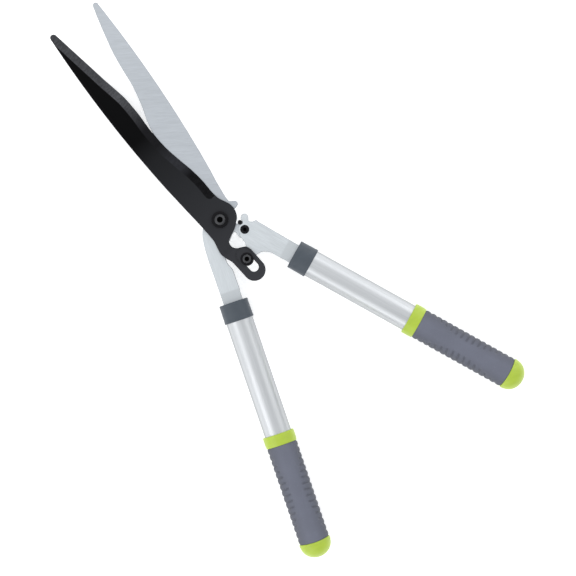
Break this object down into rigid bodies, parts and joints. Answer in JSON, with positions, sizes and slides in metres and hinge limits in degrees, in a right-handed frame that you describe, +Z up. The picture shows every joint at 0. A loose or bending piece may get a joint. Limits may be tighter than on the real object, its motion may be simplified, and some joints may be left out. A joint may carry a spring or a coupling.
{
  "type": "hedge shears",
  "caption": "Two-handed hedge shears with wavy blades, lever-action linkage, aluminium tube handles and ribbed soft grips, lying open.",
  "frame": {"origin": "under the middle of the open tool, on the surface it lies on", "axes": "+Z up from that surface, through the pivots; +Y towards the blades along the tool; +X towards the lever's handle"},
  "size_m": [0.4884, 0.5718, 0.0335],
  "materials": {
    "bright_steel": "ground, satin",
    "black_coating": "low-friction black coating, satin",
    "black_oxide": "black oxide",
    "zinc_steel": "zinc plated",
    "anodised_tube": "satin anodised",
    "slate_plastic": "moulded, fine texture",
    "lime_plastic": "moulded, semi-gloss",
    "soft_grip": "soft, matte",
    "nylon": "plain nylon",
    "black_rubber": "matte"
  },
  "bodies": {
    "counter": {"counter_blade": "bright_steel", "left_ferrule": "slate_plastic", "left_tube_insert": "nylon", "left_tang_pin": "zinc_steel", "left_tube": "anodised_tube", "left_grip_core": "lime_plastic", "left_grip_sleeve": "soft_grip", "left_end_cap": "lime_plastic", "pivot_bolt": "black_oxide", "pivot_washer": "black_oxide", "blade_spacer": "zinc_steel", "pivot_nut_washer": "zinc_steel", "pivot_locknut": "zinc_steel", "lever_screw": "black_oxide", "lever_nut_washer": "zinc_steel", "lever_locknut": "zinc_steel", "bumper_pin": "black_oxide", "stop_bumper": "black_rubber"},
    "cutting": {"cutting_blade": "black_coating", "pivot_bush": "zinc_steel"},
    "lever": {"lever_plate": "bright_steel", "lever_bush": "zinc_steel", "right_ferrule": "slate_plastic", "right_tube_insert": "nylon", "right_tang_pin": "zinc_steel", "right_tube": "anodised_tube", "right_grip_core": "lime_plastic", "right_grip_sleeve": "soft_grip", "right_end_cap": "lime_plastic", "slot_bolt": "black_oxide", "slot_washer": "black_oxide", "slot_bush": "nylon", "slot_nut_washer": "zinc_steel", "slot_locknut": "zinc_steel"}
  },
  "joints": [
    {"name": "lever_swing", "type": "hinge", "parent": "counter", "child": "lever", "pos_m": [-0.04392, 0.05197, 0.01885], "axis": [0, 0, -1], "range_deg": [0, 26]},
    {"name": "blade_swing", "type": "hinge", "parent": "counter", "child": "cutting", "pos_m": [-0.06942, 0.06187, 0.01885], "axis": [0, 0, -1], "range_deg": [0, 12.74]}
  ],
  "couplings": [
    {"joint": "blade_swing", "follows": "lever_swing", "ratio": 0.49}
  ]
}
